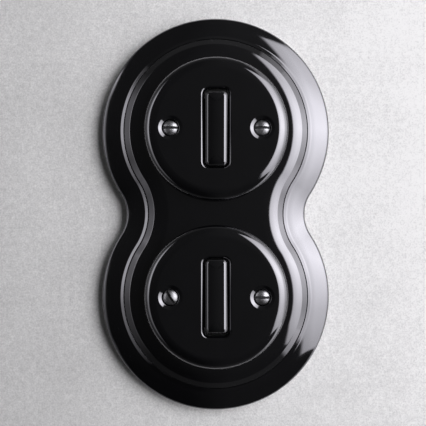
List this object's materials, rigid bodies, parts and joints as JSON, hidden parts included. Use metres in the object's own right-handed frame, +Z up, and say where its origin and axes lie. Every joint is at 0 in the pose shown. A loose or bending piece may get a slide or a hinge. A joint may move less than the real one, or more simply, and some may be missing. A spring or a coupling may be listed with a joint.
{
  "type": "light switch",
  "caption": "Porcelain wall light switch: figure-eight moulded surround, round raised covers with slotted screws, rocker keys in slots and the switch works behind.",
  "frame": {"origin": "on the wall, midway between the two gangs, at the centre of the four box-screw slots", "axes": "+X right, +Z up along the row of gangs, +Y into the wall, so the face looks along -Y"},
  "size_m": [0.0982, 0.0429, 0.1692],
  "materials": {
    "glazed_porcelain": "gloss black glaze",
    "nickel": "bright nickel plate",
    "zinc_steel": "zinc plated sheet",
    "pin_steel": "drawn steel",
    "moulded_resin": "satin",
    "spring_bronze": "rolled",
    "steatite": "unglazed",
    "brass": "rolled",
    "contact_silver": "satin"
  },
  "bodies": {
    "housing": {"surround_frame": "glazed_porcelain", "cover_screws": "nickel", "upper_cover": "glazed_porcelain", "upper_support_plate": "zinc_steel", "upper_rocker_pin": "pin_steel", "upper_switch_base": "steatite", "upper_common_terminal": "brass", "upper_throw_terminals": "brass", "upper_fixed_contacts": "contact_silver", "lower_cover": "glazed_porcelain", "lower_support_plate": "zinc_steel", "lower_rocker_pin": "pin_steel", "lower_switch_base": "steatite", "lower_common_terminal": "brass", "lower_throw_terminals": "brass", "lower_fixed_contacts": "contact_silver"},
    "upper_rocker": {"upper_rocker": "glazed_porcelain", "upper_rocker_carrier": "moulded_resin", "upper_drive_spring": "spring_bronze"},
    "upper_seesaw": {"upper_contact_seesaw": "brass", "upper_moving_contacts": "contact_silver"},
    "lower_rocker": {"lower_rocker": "glazed_porcelain", "lower_rocker_carrier": "moulded_resin", "lower_drive_spring": "spring_bronze"},
    "lower_seesaw": {"lower_contact_seesaw": "brass", "lower_moving_contacts": "contact_silver"}
  },
  "joints": [
    {"name": "upper_rocker_tilt", "type": "hinge", "parent": "housing", "child": "upper_rocker", "pos_m": [0, -0.009, 0.0355], "axis": [1, 0, 0], "range_deg": [-7, 0]},
    {"name": "upper_seesaw_tilt", "type": "hinge", "parent": "housing", "child": "upper_seesaw", "pos_m": [0, 0.009, 0.0355], "axis": [1, 0, 0], "range_deg": [0, 12.6]},
    {"name": "lower_rocker_tilt", "type": "hinge", "parent": "housing", "child": "lower_rocker", "pos_m": [0, -0.009, -0.0355], "axis": [1, 0, 0], "range_deg": [0, 7]},
    {"name": "lower_seesaw_tilt", "type": "hinge", "parent": "housing", "child": "lower_seesaw", "pos_m": [0, 0.009, -0.0355], "axis": [1, 0, 0], "range_deg": [-12.6, 0]}
  ],
  "couplings": [
    {"joint": "upper_seesaw_tilt", "follows": "upper_rocker_tilt", "ratio": -1.8},
    {"joint": "lower_seesaw_tilt", "follows": "lower_rocker_tilt", "ratio": -1.8}
  ]
}
